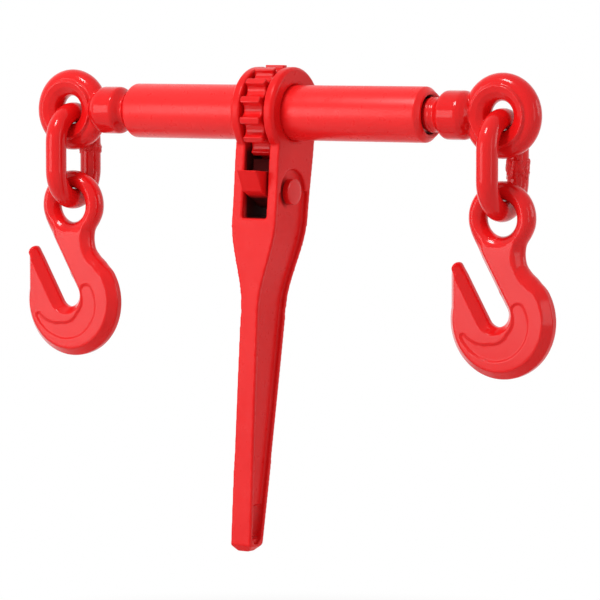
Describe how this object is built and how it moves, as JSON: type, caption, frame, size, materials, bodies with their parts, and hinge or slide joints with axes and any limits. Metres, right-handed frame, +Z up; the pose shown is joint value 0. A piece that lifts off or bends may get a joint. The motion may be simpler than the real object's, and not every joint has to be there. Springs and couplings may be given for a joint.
{
  "type": "ratchet load binder",
  "caption": "Red ratchet load binder: a turnbuckle barrel with a ratchet handle, eye screws of opposite hand, and a grab hook on a link at each end, for tightening a load chain.",
  "frame": {"origin": "on the barrel's axis, in the middle plane of the ratchet gear", "axes": "+X along the barrel to the hook at the picture's right, -Y to the front of the handle, +Z up"},
  "size_m": [0.4518, 0.08, 0.3499],
  "materials": {
    "red_paint": "gloss",
    "plain_steel": "satin"
  },
  "bodies": {
    "barrel": {"barrel": "red_paint", "ratchet_gear": "red_paint", "gear_pin": "plain_steel"},
    "handle": {"handle": "red_paint", "pawl_pin": "red_paint", "pin_washer": "plain_steel", "pin_clip": "plain_steel", "detent_spring": "plain_steel"},
    "plunger": {"detent_plunger": "plain_steel"},
    "pawl": {"pawl": "red_paint"},
    "right_stop": {"right_stop_washer": "plain_steel"},
    "right_screw": {"right_eye_screw": "red_paint", "right_stop_ring": "plain_steel"},
    "right_link": {"right_link": "red_paint"},
    "right_hook": {"right_hook": "red_paint"},
    "left_stop": {"left_stop_washer": "plain_steel"},
    "left_screw": {"left_eye_screw": "red_paint", "left_stop_ring": "plain_steel"},
    "left_link": {"left_link": "red_paint"},
    "left_hook": {"left_hook": "red_paint"}
  },
  "joints": [
    {"name": "handle_swing", "type": "hinge", "parent": "barrel", "child": "handle", "pos_m": [0, 0, 0], "axis": [1, 0, 0], "continuous": true},
    {"name": "pawl_rock", "type": "hinge", "parent": "handle", "child": "pawl", "pos_m": [0, -0.0042, -0.057], "axis": [1, 0, 0], "range_deg": [-20, 20]},
    {"name": "plunger_travel", "type": "slide", "parent": "handle", "child": "plunger", "axis": [0, 0, -1], "range_m": [0, 0.003], "stiffness_N_per_m": 800, "springref_m": -0.004, "deforming": ["detent_spring"]},
    {"name": "right_screw_turn", "type": "hinge", "parent": "right_stop", "child": "right_screw", "pos_m": [0.1, 0, 0], "axis": [1, 0, 0], "range_deg": [0, 5040]},
    {"name": "right_takeup", "type": "slide", "parent": "barrel", "child": "right_stop", "axis": [1, 0, 0], "range_m": [0, 0.0841]},
    {"name": "left_screw_turn", "type": "hinge", "parent": "left_stop", "child": "left_screw", "pos_m": [-0.1, 0, 0], "axis": [1, 0, 0], "range_deg": [0, 5041]},
    {"name": "left_takeup", "type": "slide", "parent": "barrel", "child": "left_stop", "axis": [-1, 0, 0], "range_m": [0, 0.0841]},
    {"name": "right_link_swing", "type": "hinge", "parent": "right_screw", "child": "right_link", "pos_m": [0.18975, 0, 0], "axis": [0, -1, 0], "range_deg": [-30, 90]},
    {"name": "right_hook_swing", "type": "hinge", "parent": "right_link", "child": "right_hook", "pos_m": [0.18975, 0, -0.06675], "axis": [0, -1, 0], "range_deg": [-45, 60]},
    {"name": "left_link_swing", "type": "hinge", "parent": "left_screw", "child": "left_link", "pos_m": [-0.17975, 0, 0], "axis": [0, 1, 0], "range_deg": [-30, 90]},
    {"name": "left_hook_swing", "type": "hinge", "parent": "left_link", "child": "left_hook", "pos_m": [-0.17975, 0, -0.06675], "axis": [0, 1, 0], "range_deg": [-45, 60]}
  ],
  "couplings": [
    {"joint": "right_takeup", "follows": "right_screw_turn", "m_per_rad": 0.00095493},
    {"joint": "left_screw_turn", "follows": "right_screw_turn", "ratio": 1},
    {"joint": "left_takeup", "follows": "right_screw_turn", "m_per_rad": 0.00095493}
  ]
}
